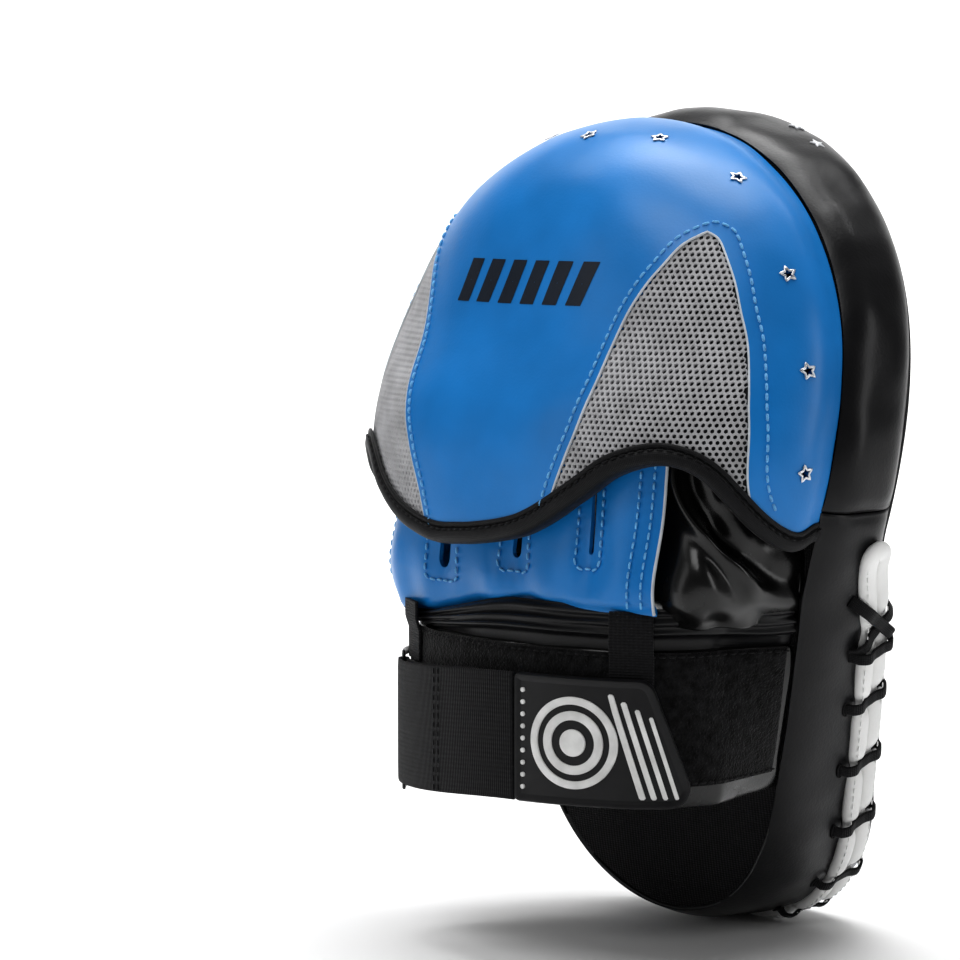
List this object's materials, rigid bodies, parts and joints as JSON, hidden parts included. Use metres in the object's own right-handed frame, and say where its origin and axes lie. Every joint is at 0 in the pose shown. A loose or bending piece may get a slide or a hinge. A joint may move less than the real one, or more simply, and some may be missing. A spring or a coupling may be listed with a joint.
{
  "type": "focus mitt",
  "caption": "Curved laced foam punching pad with a padded finger hood, a hand glove, mesh vents and a hook-and-loop wrist strap.",
  "frame": {"origin": "centre of the palm on the back panel, where the holder's palm lies", "axes": "+Z along the fingers, +Y out of the back panel towards the back of the hand, thumb side at -X; the strike face looks along -Y"},
  "size_m": [0.19, 0.1364, 0.2623],
  "materials": {
    "blue_leather": "smooth, satin",
    "black_leather": "fine grain, soft sheen",
    "gloss_leather": "smooth, glossy",
    "white_leather": "smooth, satin",
    "print_white": "printed, satin",
    "print_blue": "printed, satin",
    "mesh_grey": "knitted spacer mesh",
    "black_textile": "ribbed, matt",
    "black_binding": "folded tape, satin",
    "black_velvet": "loop pile, matt",
    "black_webbing": "woven, matt",
    "black_lace": "flat woven, matt",
    "lining": "knitted, matt",
    "foam": "closed cell, matt",
    "patch_rubber": "moulded, satin",
    "patch_white": "moulded, satin",
    "hook_nylon": "hooked, matt",
    "ring_metal": "black, satin",
    "thread_blue": "twisted thread",
    "thread_black": "twisted thread",
    "silver_foil": "foil"
  },
  "bodies": {
    "mitt": {"strike_face": "black_leather", "target_disc": "print_white", "target_ring": "print_blue", "foam_strike_layer": "foam", "foam_core": "foam", "foam_back_layer": "foam", "back_panel": "black_textile", "gusset_upper": "black_leather", "gusset_lower": "black_leather", "lace_underlay": "white_leather", "lace": "black_lace", "hood_shell": "blue_leather", "hood_foam": "foam", "hood_lining": "lining", "hood_edge_binding": "black_binding", "hood_mesh_left": "mesh_grey", "hood_mesh_right": "mesh_grey", "glove_palm": "black_leather", "glove_back": "blue_leather", "thumb_pocket": "gloss_leather", "finger_dividers": "lining", "glove_cuff": "black_leather", "cuff_cords": "black_leather", "wrist_band": "gloss_leather", "loop_panel": "black_velvet", "keeper_strap_front": "black_webbing", "keeper_strap_side": "black_webbing", "strap_ring": "ring_metal", "anchor_strap": "black_webbing", "strap_turn": "black_webbing"},
    "strap_web": {"strap_webbing": "black_webbing"},
    "strap_end": {"hook_tape": "hook_nylon", "rubber_patch": "patch_rubber", "patch_emblem": "patch_white"}
  },
  "joints": [
    {"name": "strap_open", "type": "hinge", "parent": "mitt", "child": "strap_web", "pos_m": [0.05389, 0.0596, -0.0425], "axis": [0, 0, -1], "range_deg": [0, 150]},
    {"name": "strap_peel", "type": "hinge", "parent": "strap_web", "child": "strap_end", "pos_m": [-0.01415, 0.07253, -0.0425], "axis": [0, 0, -1], "range_deg": [0, 80]}
  ]
}
